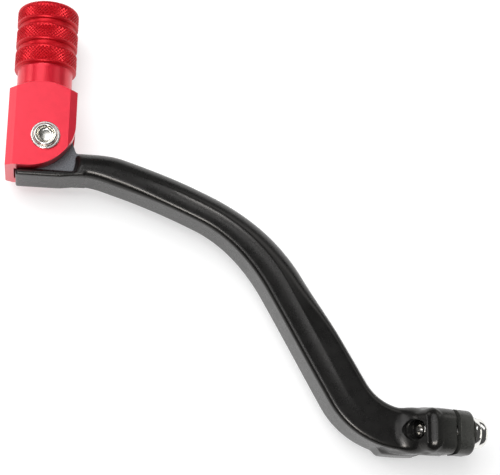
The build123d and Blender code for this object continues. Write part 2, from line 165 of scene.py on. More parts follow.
def point_outwards(piece):
    """Makes a closed mesh's faces point outwards."""
    work = bmesh.new()
    work.from_mesh(piece.data)
    bmesh.ops.recalc_face_normals(work, faces=work.faces)
    if work.calc_volume(signed=True) < 0:
        bmesh.ops.reverse_faces(work, faces=work.faces)
    work.to_mesh(piece.data)
    work.free()
    return piece


def apply_modifiers(piece):
    """Replaces a piece's mesh by what its modifiers make of it."""
    graph = bpy.context.evaluated_depsgraph_get()
    result = bpy.data.meshes.new_from_object(piece.evaluated_get(graph))
    old = piece.data
    piece.modifiers.clear()
    piece.data = result
    bpy.data.meshes.remove(old)
    return piece


def combine(piece, tool, operation):
    """Cuts, joins or intersects a piece with a tool, which is then deleted."""
    step = piece.modifiers.new("combine", "BOOLEAN")
    step.operation = operation
    step.solver = "EXACT"
    step.object = tool
    apply_modifiers(piece)
    bpy.data.objects.remove(tool)
    return piece


def clean(piece):
    """Merges points that coincide and drops faces with no area."""
    work = bmesh.new()
    work.from_mesh(piece.data)
    bmesh.ops.remove_doubles(work, verts=work.verts, dist=2e-6)
    bmesh.ops.dissolve_degenerate(work, edges=work.edges, dist=1e-6)
    work.to_mesh(piece.data)
    work.free()


def ring_faces(pairs, segments):
    """The faces between pairs of rings. A ring that is one point repeated gives triangles."""
    faces = []
    for low, high in pairs:
        for k in range(segments):
            corners = [low[k], low[(k + 1) % segments], high[(k + 1) % segments], high[k]]
            corners = list(dict.fromkeys(corners))
            if len(corners) > 2:
                faces.append(corners)
    return faces


def shade_smooth(piece, sharp_angle):
    """Smooth shading, but sharp at edges that turn by more than an angle in degrees."""
    piece.data.polygons.foreach_set("use_smooth", [True] * len(piece.data.polygons))
    piece.data.set_sharp_from_angle(angle=radians(sharp_angle))


def lathe(name, profile, frame_matrix, segments=96, closed=False, depth_at=None):
    """Turns rows that start with (radius, height) about a frame's Z axis. Ends on the axis are closed.

    depth_at(row, turn) says how deep a knurl or a thread is cut, where turn goes from 0 to 1.
    """
    vertices, rings = [], []
    for row in profile:
        radius, height = row[:2]
        if radius < 1e-6:
            rings.append([len(vertices)] * segments)
            vertices.append((0.0, 0.0, height))
            continue
        rings.append(list(range(len(vertices), len(vertices) + segments)))
        for k in range(segments):
            turn = k / segments
            reach = radius - depth_at(row, turn) if depth_at else radius
            vertices.append((reach * cos(2 * pi * turn), reach * sin(2 * pi * turn), height))
    pairs = list(zip(rings, rings[1:]))
    if closed:
        pairs.append((rings[-1], rings[0]))
    placed = np.array([frame_matrix @ Vector(v) for v in vertices])
    return point_outwards(new_object(name, placed, ring_faces(pairs, segments)))


def prism(name, outline, start, end, frame_matrix):
    """Extrudes an outline along a frame's Z axis, from start to end."""
    count = len(outline)
    vertices = [(x, y, start) for x, y in outline] + [(x, y, end) for x, y in outline]
    faces = [list(range(count))[::-1], list(range(count, 2 * count))]
    faces += [[k, (k + 1) % count, count + (k + 1) % count, count + k] for k in range(count)]
    placed = np.array([frame_matrix @ Vector(v) for v in vertices])
    return point_outwards(new_object(name, placed, faces, smooth=False))


def arc_points(centre, radius, start, end, steps):
    """Points along an arc, by angle in degrees."""
    angles = [radians(start + (end - start) * k / steps) for k in range(steps + 1)]
    return [(centre[0] + radius * cos(a), centre[1] + radius * sin(a)) for a in angles]


def axes_matrix(origin, x_axis, z_axis):
    """A frame from its origin, its X axis and its Z axis."""
    x = Vector(x_axis).normalized()
    z = Vector(z_axis).normalized()
    y = z.cross(x)
    matrix = Matrix((x, y, z)).transposed().to_4x4()
    matrix.translation = Vector(origin)
    return matrix


def pinch_point(along, up, across=0.0):
    """A point of the clamp's leaning frame: along the bolt, and up the slit."""
    x = along * cos(PINCH_TILT) + up * sin(PINCH_TILT)
    z = up * cos(PINCH_TILT) - along * sin(PINCH_TILT)
    return (x, across, z)


def bolt_matrix(along):
    """The frame whose Z axis is the pinch bolt's axis, towards its head."""
    return axes_matrix(pinch_point(along, BOLT_HEIGHT), (0, 1, 0), pinch_point(1, 0))


FOLD_MATRIX = axes_matrix(PIVOT, (1, 0, 0), (0, 0, 1))
PEG_MATRIX = axes_matrix(PIVOT + np.array((TIP_X, 0, 0)), (1, 0, 0), (0, 1, 0))
BORE_MATRIX = axes_matrix((0, 0, 0), (1, 0, 0), (0, -1, 0))


# ---------------------------------------------------------------------------
# Solid fields: signed distances that blend as a forging does
# ---------------------------------------------------------------------------
def smooth_step(value, low, high):
    """Goes smoothly from 0 at low to 1 at high."""
    share = np.clip((value - low) / (high - low), 0, 1)
    return share * share * (3 - 2 * share)


def round_and(a, b, radius):
    """The intersection of two fields, its edge rounded."""
    corner = np.sqrt(np.maximum(radius + a, 0) ** 2 + np.maximum(radius + b, 0) ** 2)
    return np.minimum(-radius, np.maximum(a, b)) + corner


def round_or(a, b, radius):
    """The union of two fields, with a fillet where they meet."""
    return -round_and(-a, -b, radius)


def convex_field(x, y, corners):
    """The distance to a convex outline whose corners go round anticlockwise."""
    field = np.full(np.broadcast(x, y).shape, -1e9)
    for (x0, y0), (x1, y1) in zip(corners, corners[1:] + corners[:1]):
        length = sqrt((x1 - x0) ** 2 + (y1 - y0) ** 2)
        field = np.maximum(field, ((y1 - y0) * (x - x0) - (x1 - x0) * (y - y0)) / length)
    return field


def arm_course():
    """Each stretch of the centreline: where it starts, its heading, radius, turn and length."""
    x, y = PIVOT[0] + ARM_START[0], PIVOT[1] + ARM_START[1]
    heading, travelled = 0.0, 0.0
    course = []
    for (radius, turn), width, next_width in zip(ARM_STRETCHES, ARM_WIDTHS, ARM_WIDTHS[1:]):
        sweep = radians(turn) if radius else 0.0
        length = abs(sweep) * radius if radius else turn
        course.append((x, y, heading, radius, sweep, length, travelled, width, next_width))
        if radius:
            side = 1 if sweep > 0 else -1
            x += side * radius * (sin(heading + sweep) - sin(heading))
            y -= side * radius * (cos(heading + sweep) - cos(heading))
            heading += sweep
        else:
            x += length * cos(heading)
            y += length * sin(heading)
        travelled += length
    return course, x, travelled


ARM_COURSE, ARM_END, ARM_LENGTH = arm_course()


def arm_place(x, y):
    """Where each point is along and across the arm: travelled length, offset and width."""
    best = np.full(np.broadcast(x, y).shape, 1e9)
    travelled, offset, width = np.zeros((3,) + best.shape)
    for x0, y0, heading, radius, sweep, length, before, start_width, end_width in ARM_COURSE:
        dx, dy = x - x0, y - y0
        ahead = dx * cos(heading) + dy * sin(heading)
        left = dy * cos(heading) - dx * sin(heading)
        if radius:
            side = 1 if sweep > 0 else -1
            inward = radius - side * left
            share = np.arctan2(ahead, inward) / abs(sweep)
            away = side * (radius - np.hypot(ahead, inward))
            end_ahead = ahead - radius * sin(abs(sweep))
            end_left = left - side * radius * (1 - cos(sweep))
        else:
            share = ahead / length
            away = left
            end_ahead, end_left = ahead - length, left
        past_end = np.where(share > 1, np.hypot(end_ahead, end_left), abs(away))
        distance = np.where(share < 0, np.hypot(ahead, left), past_end)
        closer = distance < best
        best = np.where(closer, distance, best)
        early = np.minimum(ahead, 0) if before == 0 else 0
        share = np.clip(share, 0, 1)
        travelled = np.where(closer, before + length * share + early, travelled)
        offset = np.where(closer, np.where(early < 0, left, away), offset)
        blend = share * share * (3 - 2 * share)
        width = np.where(closer, start_width + (end_width - start_width) * blend, width)
    return travelled, offset, width


def ease_between(before, after, where, blend):
    """Passes from one number to another about a place, over a short blend."""
    share = smooth_step(where, -blend, blend)
    return before * (1 - share) + after * share


def arm_field(x, y, z, place):
    """The S-shaped arm: a flat inner side, a cove rising to a crest and a rounded outer side."""
    travelled, offset, width = place
    share = travelled / ARM_LENGTH
    depth = ARM_DEPTHS[0] + (ARM_DEPTHS[1] - ARM_DEPTHS[0]) * share
    height = z - PIVOT[2]
    face = np.abs(height) - depth / 2
    # The cove: its floor falls away from the inner rim, then climbs to the crest.
    rim = 1.2 - width / 2
    crest = width * (0.02 - 0.06 * smooth_step(share, 0.50, 0.80))
    reach = crest - rim
    inside = np.clip((offset - rim) / reach, 0, 1)
    climb = 0.50 - 0.28 * smooth_step(share, 0.22, 0.60)
    cove = reach * (COVE_SLOPE * inside - climb * inside ** COVE_POWER / COVE_POWER)
    drop = 0.24 * np.maximum(offset - crest, 0) * (1 - smooth_step(share, 0.52, 0.68))
    crown = reach * (COVE_SLOPE - climb / COVE_POWER) + drop
    # It fades out towards both ends of the arm.
    strength = smooth_step(share, 0.03, 0.30) * (1 - smooth_step(share, 0.66, 0.90))
    field = face + strength * (ease_between(cove, crown, offset - crest, 0.4) + COVE_DEPTH)
    inner_radius = np.where(height > 0, 2.4 - 0.9 * smooth_step(share, 0.08, 0.22), 1.2)
    field = round_and(field, -width / 2 - offset, inner_radius)
    outer_radius = 6.4 - 1.0 * smooth_step(share, 0.08, 0.24) - 2.9 * smooth_step(share, 0.45, 0.68)
    return round_and(field, offset - width / 2, outer_radius)


def lug_field(x, y, z):
    """The lug between the tip's cheeks and the ledge that the tip rests on."""
    px, py = x - PIVOT[0], y - PIVOT[1]
    height = np.abs(z - PIVOT[2])
    disc = np.sqrt(px * px + py * py) - LUG_RADIUS
    web = convex_field(px, py, [(-6.0, -11.0), (11.2, -11.0), (10.9, -6.0), (8.6, 0.0), (-6.0, 0.0)])
    lug = round_and(np.minimum(disc, web), height - LUG_HALF, 0.35)
    # The ledge's underside rises a little towards the arm.
    bottom = LEDGE_BOTTOM - 0.12 + 0.9 * smooth_step(px, 4.0, 13.0)
    plate = round_and(bottom - py, py - LEDGE_TOP, 0.55)
    plate = round_and(plate, LEDGE_LEFT - px, 0.7)
    plate = np.maximum(plate, px - 13.0)
    plate = round_and(plate, height - LEDGE_HALF, 0.7)
    return lug, plate


def clamp_field(x, y, z):
    """The barrel round the shaft, the jaws and the land that the bolt's hole comes out of."""
    along = x * cos(PINCH_TILT) - z * sin(PINCH_TILT)
    up = x * sin(PINCH_TILT) + z * cos(PINCH_TILT)
    across = np.abs(y)
    barrel = round_and(np.sqrt(x * x + z * z) - BARREL_RADIUS, across - BARREL_HALF, 0.7)
    # A block between the barrel and the arm.
    foot = convex_field(x, z, [(-18.0, -3.2), (-6.0, -3.2), (-6.0, 4.0), (-18.0, 4.0)])
    foot = round_and(foot, across - LAND_HALF, 1.0)
    # The jaws, with a crowned top that is rounded across the slit.
    pad = np.maximum(PAD_LEFT - along, along - PAD_RIGHT)
    crown = np.maximum(along + 3.0, 0) ** 2 / 110.0
    loaf = round_and(across - PAD_HALF, up - PAD_TOP + crown, 4.2)
    pad = round_and(round_and(pad, loaf, 1.0), PAD_BOTTOM - up, 0.4)
    # The land, whose wall leans away from the jaws.
    face_x, _, face_z = pinch_point(SPOTFACE_CENTRE, BOLT_HEIGHT)
    lean = SPOTFACE_LEAN + PINCH_TILT
    wall = -(x - face_x) * cos(lean) + (z - face_z) * sin(lean) - 0.15
    land = round_and(wall, up - LAND_TOP, 0.35)
    land = np.maximum(np.maximum(land, along - PAD_LEFT - 1.0), 1.0 - up)
    land = round_and(land, across - LAND_HALF - 0.2, 3.0)
    body = round_or(pad, land, 2.0)
    body = round_or(body, barrel, 1.0)
    return round_or(body, foot, 1.0)


def forging_field(x, y, z, place):
    """The whole lever arm before machining."""
    arm = arm_field(x, y, z, place)
    px, py = x - PIVOT[0], y - PIVOT[1]
    height = np.abs(z - PIVOT[2])
    # The arm starts at a round hollow beside the lug.
    wall = 9.75 + 0.55 * np.maximum(height - LUG_HALF, 0) - np.sqrt((px - 0.2) ** 2 + (py + 6.5) ** 2)
    arm = round_and(arm, np.maximum(wall, 6.0 - px), 1.1)
    arm = np.maximum(arm, x - ARM_END)
    lug, plate = lug_field(x, y, z)
    tip_end = round_or(round_or(lug, plate, 0.4), arm, 0.8)
    # Room for the tip's cheeks when the tip is folded as far as it goes.
    edge = TIP_X + CLEVIS_HALF_WIDTH + 0.35
    swept = edge - px * cos(FOLD_LIMIT) + py * sin(FOLD_LIMIT)
    swept = np.minimum(swept, np.minimum(height - SLOT_HALF + 0.04, py - LEDGE_TOP - 0.3))
    tip_end = np.maximum(tip_end, swept)
    tip_zone, clamp_zone = 30, 60
    field = np.where(px < tip_zone, tip_end, arm)
    fillet = 2.6 + 1.2 * smooth_step(z, 6.0, 10.0) * (1 - smooth_step(np.abs(y), 1.5, 5.5))
    clamp_end = round_or(arm, clamp_field(x, y, z), fillet)
    return np.where(px > clamp_zone, clamp_end, field)


def surface_net(field, low, high, cell):
    """The field's zero surface as quads, each vertex at the mean of its cell's crossings."""
    counts = [int((h - l) / cell) + 2 for l, h in zip(low, high)]
    axes = [low[k] + cell * np.arange(counts[k]) for k in range(3)]
    place = arm_place(*np.meshgrid(axes[0], axes[1], indexing="ij"))
    place = [part[:, :, None] for part in place]
    x, y, z = axes[0][:, None, None], axes[1][None, :, None], axes[2][None, None, :]
    values = np.broadcast_to(field(x, y, z, place), counts)
    inside = values < 0
    total = np.zeros([n - 1 for n in counts] + [3])
    hits = np.zeros([n - 1 for n in counts])
    edges = []
    for axis in range(3):
        first = [slice(None)] * 3
        second = [slice(None)] * 3
        first[axis] = slice(0, -1)
        second[axis] = slice(1, None)
        a, b = values[tuple(first)], values[tuple(second)]
        crossing = np.argwhere(inside[tuple(first)] != inside[tuple(second)])
        index = tuple(crossing.T)
        share = a[index] / (a[index] - b[index])
        where = crossing.astype(float)
        where[:, axis] += share
        others = [k for k in range(3) if k != axis]
        for shift_a in (0, 1):
            for shift_b in (0, 1):
                cells = crossing.copy()
                cells[:, others[0]] -= shift_a
                cells[:, others[1]] -= shift_b
                good = np.all((cells >= 0) & (cells < np.array(counts) - 1), axis=1)
                at = tuple(cells[good].T)
                np.add.at(total, at, where[good])
                np.add.at(hits, at, 1)
        edges.append((crossing, others, inside[index]))
    used = hits > 0
    number = np.full(used.shape, -1)
    number[used] = np.arange(used.sum())
    vertices = total[used] / hits[used][:, None] * cell + np.array(low)
    quads = []
    for axis, (crossing, others, leaving) in enumerate(edges):
        ring = []
        for shift_a, shift_b in ((0, 0), (1, 0), (1, 1), (0, 1)):
            cells = crossing.copy()
            cells[:, others[0]] -= shift_a
            cells[:, others[1]] -= shift_b
            ring.append(number[tuple(cells.T)])
        ring = np.stack(ring, 1)
        turned = leaving if axis != 1 else ~leaving
        ring[turned] = ring[turned][:, ::-1]
        quads.append(ring)
    return vertices, np.concatenate(quads)


def settle(field, points, rounds=3, reach=0.25):
    """Moves points onto the field's zero surface along its slope."""
    nudge = 0.02
    for _ in range(rounds):
        place = arm_place(points[:, 0], points[:, 1])
        value = field(*points.T, place)
        slope = np.zeros_like(points)
        for axis in range(3):
            moved = points.copy()
            moved[:, axis] += nudge
            near = arm_place(moved[:, 0], moved[:, 1]) if axis < 2 else place
            slope[:, axis] = (field(*moved.T, near) - value) / nudge
        size = np.maximum((slope ** 2).sum(1), 0.1)
        step = -(value / size)[:, None] * slope
        length = np.sqrt((step ** 2).sum(1))[:, None]
        points = points + step * np.minimum(1, reach / np.maximum(length, 1e-9))
    return points


# ---------------------------------------------------------------------------
# Lever arm
# ---------------------------------------------------------------------------
def spline_outline():
    """The bore's outline with its serrations."""
    points = []
    for tooth in range(SPLINE_TEETH):
        start = 2 * pi * tooth / SPLINE_TEETH
        pitch = 2 * pi / SPLINE_TEETH
        land = [0.0, 0.09, 0.18, 0.27]
        for share in land:
            points.append((BORE_RADIUS, start + pitch * share))
        points.append((BORE_RADIUS + SPLINE_DEPTH, start + pitch * 0.60))
        points.append((BORE_RADIUS + SPLINE_DEPTH, start + pitch * 0.67))
    return [(radius * cos(angle), radius * sin(angle)) for radius, angle in points]


def machine_clamp(arm):
    """The bore, the slit, the bolt's hole with its spotface and the seat of its head."""
    reach = PAD_HALF + 1
    combine(arm, prism("bore", spline_outline(), -reach, reach, BORE_MATRIX), "DIFFERENCE")
    wide, edge = BORE_RADIUS + SPLINE_DEPTH + 0.25, 1.0
    for side in (1, -1):
        profile = [(0, 0), (wide - edge, 0), (wide, edge), (wide, edge + 0.3), (0, edge + 0.3)]
        profile = [(radius, side * (BARREL_HALF - edge + height)) for radius, height in profile]
        combine(arm, lathe("lead_in", profile, BORE_MATRIX), "DIFFERENCE")
    bevel, tall = 0.5, PAD_TOP + 2
    slit = [(SLIT_HALF, 2.0), (SLIT_HALF, PAD_TOP - bevel / 2)]
    slit += [(SLIT_HALF + bevel, PAD_TOP + bevel / 2), (SLIT_HALF + bevel, tall)]
    slit = [(-along, up) for along, up in slit[:1]] + slit + [(-along, up) for along, up in slit[:0:-1]]
    slit = [pinch_point(along, up)[::2] for along, up in slit]
    combine(arm, prism("slit", slit, -reach, reach, BORE_MATRIX), "DIFFERENCE")
    tapped, clearance, right = 3.0, 3.3, PAD_RIGHT + 1
    hole = [(0, -14), (tapped, -14), (tapped, -SLIT_HALF)]
    hole += [(clearance, -SLIT_HALF + 0.1), (clearance, right), (0, right)]
    combine(arm, lathe("bolt_hole", hole, bolt_matrix(0), 64), "DIFFERENCE")
    seat_radius = 5.6
    seat = [(0, -HEAD_SEAT), (seat_radius, -HEAD_SEAT), (seat_radius, 12), (0, 12)]
    combine(arm, lathe("head_seat", seat, bolt_matrix(PAD_RIGHT), 96), "DIFFERENCE")
    start, end = -4.5, 1.7
    exit_hole = [(0, start), (EXIT_HOLE_RADIUS, start), (EXIT_HOLE_RADIUS, end), (0, end)]
    combine(arm, lathe("exit_hole", exit_hole, bolt_matrix(SPOTFACE_CENTRE), 64), "DIFFERENCE")
    lean = SPOTFACE_LEAN + PINCH_TILT
    face = axes_matrix(pinch_point(SPOTFACE_CENTRE, BOLT_HEIGHT), (0, 1, 0), (-cos(lean), 0, sin(lean)))
    corner = 0.9
    dish = [(0, 0.0)]
    dish += [(SPOTFACE_RADIUS - corner + x, corner + y) for x, y in arc_points((0, 0), corner, -90, 0, 8)]
    dish += [(SPOTFACE_RADIUS + 1.5, 9.0), (0, 9.0)]
    combine(arm, lathe("spotface", dish, face, 96), "DIFFERENCE")


def machine_lug(arm):
    """The pivot bore and the spring's pocket."""
    radius, below = SLEEVE_RADII[1] + 0.05, -LUG_HALF - 1
    bore = [(0, -7), (radius, -7), (radius, 7), (0, 7)]
    combine(arm, lathe("pivot_bore", bore, FOLD_MATRIX, 72), "DIFFERENCE")
    pocket = [(0, below), (POCKET_RADIUS, below), (POCKET_RADIUS, POCKET_FLOOR), (0, POCKET_FLOOR)]
    combine(arm, lathe("pocket", pocket, FOLD_MATRIX, 72), "DIFFERENCE")
    half, start, end = 0.9, 5.0, LUG_RADIUS + 1
    anchor = [(-half, start), (half, start), (half, end), (-half, end)]
    combine(arm, prism("anchor", anchor, below, POCKET_FLOOR, FOLD_MATRIX), "DIFFERENCE")


def make_lever_arm():
    """The forging's surface, then what is machined into it."""
    # The grid is shifted a little, so that flat faces don't lie on its planes.
    low = LOW - 0.8 + np.array((0.1, 0.13, 0.07))
    high = HIGH + 0.8
    low[0] = PIVOT[0] + LEDGE_LEFT - 1.0
    high[0] = BARREL_RADIUS + 1.5
    high[1] = PIVOT[1] + LUG_RADIUS + 1.0
    points, quads = surface_net(forging_field, low, high, MESH_CELL)
    points = settle(forging_field, points)
    arm = new_object("forged_lever_arm", points, quads)
    point_outwards(arm)
    machine_clamp(arm)
    machine_lug(arm)
    clean(arm)
    shade_smooth(arm, 38)
    return arm


# ---------------------------------------------------------------------------
# Folding tip
# ---------------------------------------------------------------------------
def knurl_height(turn, height):
    """How far a diamond knurl is cut in: 0 on the points and 1 along the grooves."""
    climb = height / (2 * pi * KNURL_RADIUS / KNURL_STARTS)
    cuts = []
    for sign in (1, -1):
        phase = KNURL_STARTS * turn + sign * climb
        cuts.append(1 - 2 * abs(phase - round(phase)))
    return min(1.0, max(cuts) * 1.15 - 0.15)


def peg_radii():
    """Rows of radius, height and share of the knurl's depth, from the neck to the top."""
    pitch = 2 * pi * KNURL_RADIUS / KNURL_STARTS
    half_groove, top_rounding = 0.75, 1.25
    rows = [(0.0, NECK_START - 3.0, 0.0), (NECK_RADIUS, NECK_START - 3.0, 0.0)]
    rows += [(NECK_RADIUS, NECK_START + 0.5 + 0.8 * k, 0.0) for k in range(7)]
    rows += [(NECK_RADIUS, KNURL_START - 0.35, 0.0)]
    fillet = 0.35
    rows += [(NECK_RADIUS + fillet * (1 - cos(a)), KNURL_START - fillet + fillet * sin(a), 0.0)
             for a in (pi / 6, pi / 3, pi / 2)]
    edges = [KNURL_START]
    for groove in GROOVES:
        edges += [groove - half_groove, groove + half_groove]
    edges.append(PEG_TOP)
    for band in range(3):
        bottom, top = edges[2 * band], edges[2 * band + 1]
        shelf = 0.75
        slope = 0.55 if band else 0.35
        start_radius = GROOVE_RADIUS if band else 9.35
        steps = 5
        for k in range(steps + 1):
            angle = pi / 2 * k / steps
            rows.append((start_radius + (KNURL_RADIUS - start_radius) * sin(angle),
                         bottom + (slope + shelf * 0.3) * (1 - cos(angle)), 0.0))
        first = rows[-1][1]
        last = top - (0.45 if band < 2 else top_rounding)
        count = int((last - first) / (pitch / 8))
        for k in range(1, count):
            edge = min(1.0, min(k, count - k) / 5)
            rows.append((KNURL_RADIUS, first + (last - first) * k / count, edge))
        if band < 2:
            for k in range(steps + 1):
                angle = pi / 2 * k / steps
                rows.append((GROOVE_RADIUS + (KNURL_RADIUS - GROOVE_RADIUS) * cos(angle),
                             last + (top - last) * sin(angle), 0.0))
            for k in range(1, 4):
                rows.append((GROOVE_RADIUS - 0.12 * sin(pi * k / 4), top + half_groove * k / 2, 0.0))
        else:
            for k in range(steps + 1):
                angle = pi / 2 * k / steps
                rows.append((KNURL_RADIUS - top_rounding * (1 - cos(angle)),
                             last + top_rounding * sin(angle), 0.0))
    top_radius = rows[-1][0]
    rows += [(top_radius * share, PEG_TOP, 0.0) for share in (0.85, 0.7, 0.5, 0.3, 0.12)]
    rows.append((0.0, PEG_TOP, 0.0))
    return rows


def knurl_depth(row, turn):
    """How deep the knurl is at a place on the peg. A row's last number is its share of the depth."""
    _, height, share = row
    return share * KNURL_DEPTH * knurl_height(turn, height) if share else 0.0


def make_peg():
    """The neck and the knurled grip, as one closed turned form."""
    return lathe("peg", peg_radii(), PEG_MATRIX, KNURL_STARTS * 8, depth_at=knurl_depth)


def make_clevis():
    """The milled fork: a turned blank with flats, a slot and rounded cheeks."""
    drop = (TURNED_RADIUS - NECK_RADIUS) / tan(SHOULDER_ANGLE)
    blank = [
        (0, CLEVIS_BOTTOM - 1),
        (TURNED_RADIUS, CLEVIS_BOTTOM - 1),
        (TURNED_RADIUS, NECK_START - drop),
        (NECK_RADIUS - 0.2, NECK_START + 0.13),
        (0, NECK_START + 0.13),
    ]
    clevis = lathe("clevis", blank, PEG_MATRIX, 192)
    half, deep = CLEVIS_HALF_WIDTH, CLEVIS_HALF_DEPTH
    cut_x, cut_z = LONG_CHAMFER
    outline = [
        (half - cut_x, -deep), (half, -deep + cut_z), (half, deep - cut_z), (half - cut_x, deep),
        (cut_x - half, deep), (-half, deep - cut_z), (-half, -deep + cut_z), (cut_x - half, -deep),
    ]
    combine(clevis, prism("flats", outline, CLEVIS_BOTTOM, NECK_START + 2, PEG_MATRIX), "INTERSECT")
    radius = CHEEK_CORNER_RADIUS
    right = TIP_X + half
    cheek = [(-30, CLEVIS_BOTTOM)]
    cheek += arc_points((right - radius, CLEVIS_BOTTOM + radius), radius, -90, 0, 40)
    cheek += [(right, 30), (-30, 30)]
    combine(clevis, prism("cheeks", cheek, -20, 20, FOLD_MATRIX), "INTERSECT")
    root = 1.0
    slot = [(SLOT_LEFT, -20)]
    slot += arc_points((SLOT_LEFT + root, SLOT_TOP - root), root, 180, 90, 6)
    slot += [(20, SLOT_TOP), (20, -20)]
    combine(clevis, prism("slot", slot, -SLOT_HALF, SLOT_HALF, FOLD_MATRIX), "DIFFERENCE")
    hole_radius = RIVET_RADIUS + 0.06
    hole = [(0, -12), (hole_radius, -12), (hole_radius, 12), (0, 12)]
    combine(clevis, lathe("rivet_hole", hole, FOLD_MATRIX, 64), "DIFFERENCE")
    edges = clevis.modifiers.new("edges", "BEVEL")
    edges.width = 0.22 * MM
    edges.segments = 3
    edges.limit_method = "ANGLE"
    edges.angle_limit = radians(20)
    edges.miter_outer = "MITER_ARC"
    edges.use_clamp_overlap = True
    apply_modifiers(clevis)
    return clevis


def make_folding_tip():
    """The clevis and the peg, one machined piece."""
    tip = make_clevis()
    tip.name = "red_folding_tip"
    combine(tip, make_peg(), "UNION")
    shade_smooth(tip, 34)
    even = tip.modifiers.new("even", "WEIGHTED_NORMAL")
    even.keep_sharp = True
    even.weight = 100
    apply_modifiers(tip)
    return tip


# ---------------------------------------------------------------------------
# Rivet, washers, sleeve, spring and bolt
# ---------------------------------------------------------------------------
def make_rivet():
    """A rivet with a rolled front end, hollow in the middle, and a domed head behind."""
    seat, head = CLEVIS_HALF_DEPTH + WASHER_THICKNESS, 4.3
    top = seat + 1.1
    profile = [(0, top - 1.45), (1.2, top - 1.5), (1.75, top - 1.42)]
    profile += arc_points((1.35, top - 0.15), 1.42, -62, -4, 10)
    profile += [(2.86, top - 0.06), (3.0, top), (3.2, top - 0.01)]
    profile += arc_points((3.2, seat + 0.5), 0.59, 88, 0, 8)
    profile += [(3.8, seat + 0.02), (3.7, seat), (RIVET_RADIUS, seat), (RIVET_RADIUS, -seat)]
    profile += [(head - 0.1, -seat), (head, -seat - 0.1), (head, -seat - 0.35)]
    profile += [(head * cos(a), -seat - 0.35 - 0.9 * sin(a)) for a in [radians(10 * k) for k in range(1, 9)]]
    profile += [(0, -seat - 1.26)]
    return lathe("hollow_rivet", profile, FOLD_MATRIX, 96)


def make_washer(name, side):
    """A flat ring against a cheek, its outer edge rounded."""
    inner, outer, thick, edge = RIVET_RADIUS + 0.05, WASHER_RADIUS, WASHER_THICKNESS, 0.22
    profile = [(inner, 0), (outer - 0.08, 0), (outer, 0.08)]
    profile += [(outer - edge + x, thick - edge + y) for x, y in arc_points((0, 0), edge, 0, 90, 5)]
    profile += [(inner + 0.1, thick), (inner, thick - 0.1)]
    matrix = axes_matrix(PIVOT + np.array((0, 0, side * CLEVIS_HALF_DEPTH)), (1, 0, 0), (0, 0, side))
    return lathe(name, profile, matrix, 96, closed=True)


def make_sleeve():
    """The spacer between the cheeks."""
    inner, outer = SLEEVE_RADII
    half, edge = SLOT_HALF, 0.25
    profile = [
        (inner + edge, -half), (outer - edge, -half), (outer, -half + edge), (outer, half - edge),
        (outer - edge, half), (inner + edge, half), (inner, half - edge), (inner, -half + edge),
    ]
    return lathe("spacer_sleeve", profile, FOLD_MATRIX, 72, closed=True)


def tube(name, path, radius, sides=16):
    """A round wire along a path of points, closed at both ends."""
    path = [Vector(p) for p in path]
    vertices, faces = [], []
    normal = Vector((0, 0, 1))
    for k, point in enumerate(path):
        ahead = path[min(k + 1, len(path) - 1)] - path[max(k - 1, 0)]
        ahead.normalize()
        normal = (normal - ahead * normal.dot(ahead)).normalized()
        side = ahead.cross(normal)
        for step in range(sides):
            angle = 2 * pi * step / sides
            vertices.append(point + radius * (cos(angle) * normal + sin(angle) * side))
    for k in range(len(path) - 1):
        for step in range(sides):
            a, b = k * sides + step, k * sides + (step + 1) % sides
            faces.append([a, b, b + sides, a + sides])
    faces.append(list(range(sides))[::-1])
    faces.append(list(range((len(path) - 1) * sides, len(path) * sides)))
    return point_outwards(new_object(name, [tuple(v) for v in vertices], faces))


def make_spring():
    """The torsion spring: its coil, with a leg at each end."""
    floor = -LUG_HALF + 0.25 + SPRING_WIRE / 2
    rise = SPRING_PITCH * SPRING_TURNS
    path = [(SPRING_RADIUS, 0.3, floor - 2.4), (SPRING_RADIUS, 0.3, floor - 1.2)]
    path += [(SPRING_RADIUS, 0.3, floor - 0.6), (SPRING_RADIUS - 0.03, 0.38, floor - 0.2)]
    turns = [k / 40 for k in range(3, int(SPRING_TURNS * 40) - 2)]
    path += [(SPRING_RADIUS * cos(2 * pi * t), SPRING_RADIUS * sin(2 * pi * t), floor + SPRING_PITCH * t)
             for t in turns]
    path += [(0.42, SPRING_RADIUS + 0.25, floor + rise - 0.03), (0.3, SPRING_RADIUS + 0.7, floor + rise)]
    path += [(0.3, SPRING_RADIUS + 1.5, floor + rise), (0.3, SPRING_RADIUS + 2.3, floor + rise)]
    placed = [FOLD_MATRIX @ Vector(p) for p in path]
    return tube("torsion_spring", placed, SPRING_WIRE / 2 - 0.02)


